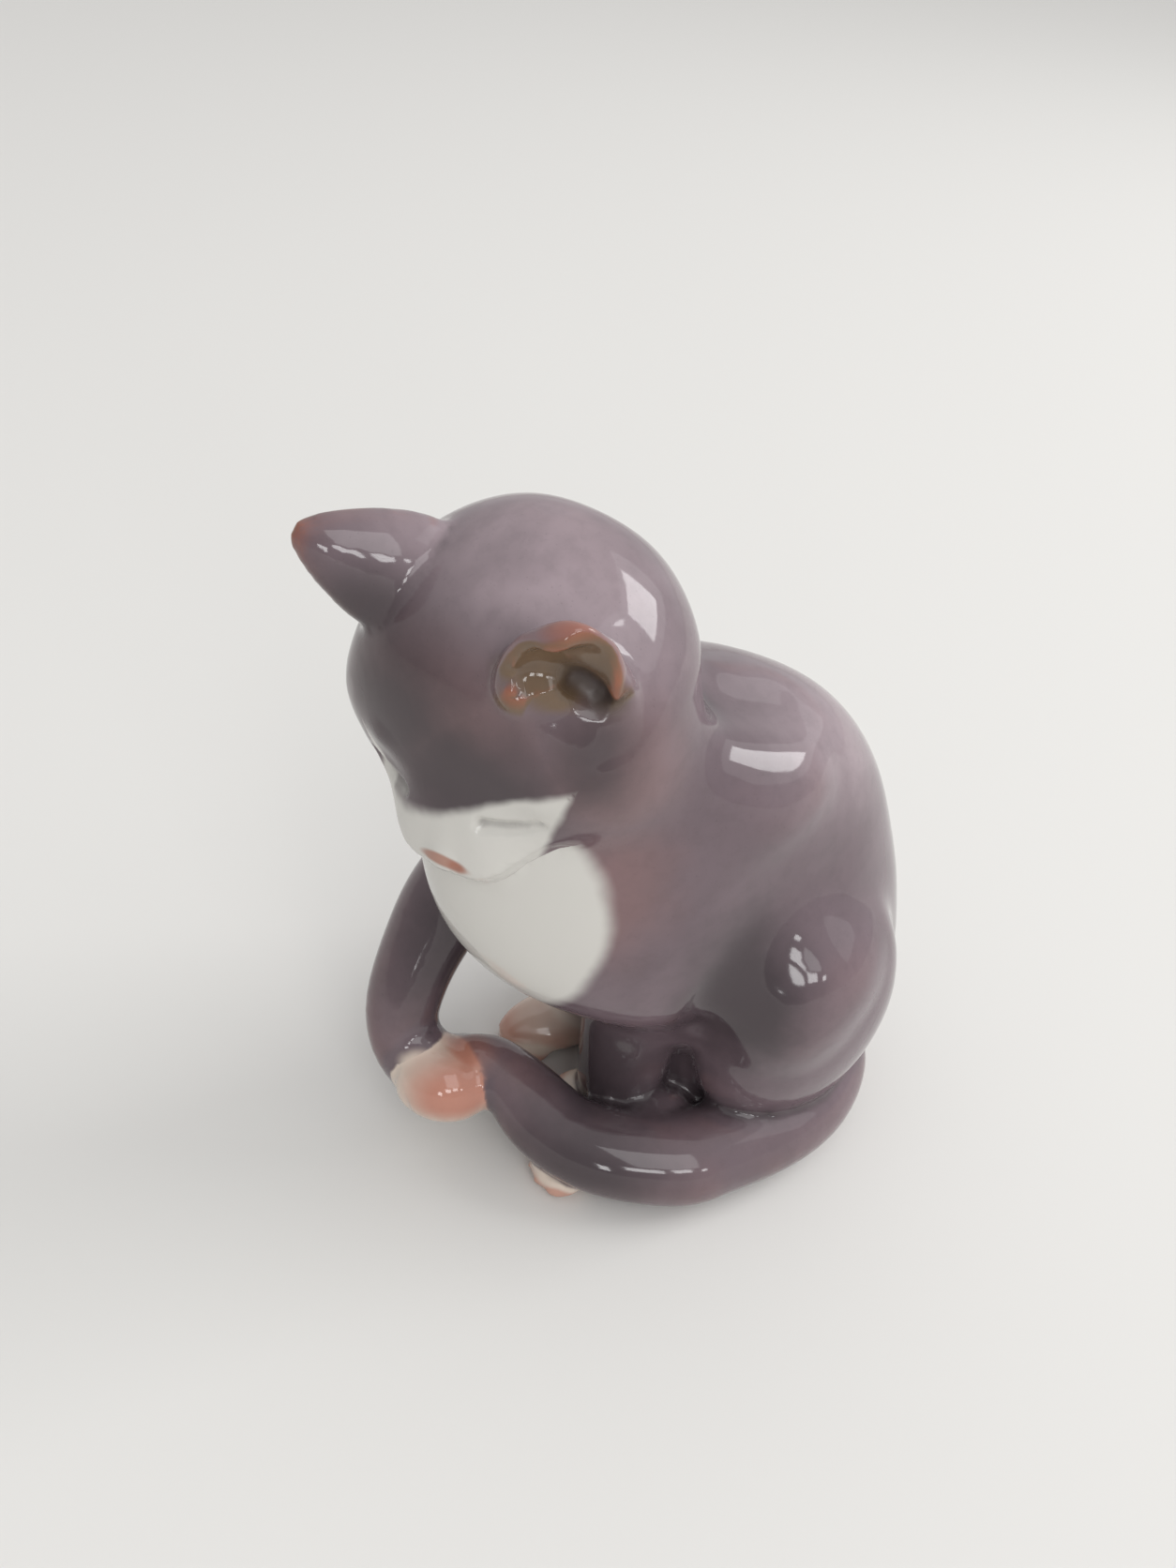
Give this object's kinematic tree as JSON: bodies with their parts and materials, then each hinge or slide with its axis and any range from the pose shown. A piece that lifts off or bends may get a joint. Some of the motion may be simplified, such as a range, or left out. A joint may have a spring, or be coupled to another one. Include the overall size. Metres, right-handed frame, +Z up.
{
  "type": "cat figurine",
  "caption": "Glazed porcelain figurine of a seated cat, head bowed and turned, one foreleg raised to the tip of the tail that curls round its feet.",
  "frame": {"origin": "middle of the cat's foot, on the surface it sits on", "axes": "+X the cat's left, -Y its front, +Z up"},
  "size_m": [0.0624, 0.1067, 0.1211],
  "materials": {
    "grey_glaze": "glossy mauve-grey glaze over porcelain, warm brown where it runs thin",
    "pale_glaze": "glossy clear glaze over cream porcelain, tinted pink"
  },
  "bodies": {
    "root": {"body": "grey_glaze", "head": "grey_glaze", "left_ear": "grey_glaze", "right_ear": "grey_glaze", "left_haunch": "grey_glaze", "right_haunch": "grey_glaze", "left_foreleg": "grey_glaze", "left_forepaw": "pale_glaze", "left_hind_foot": "pale_glaze", "right_hind_foot": "pale_glaze", "right_foreleg": "grey_glaze", "right_forepaw": "pale_glaze", "tail": "grey_glaze"}
  },
  "joints": []
}
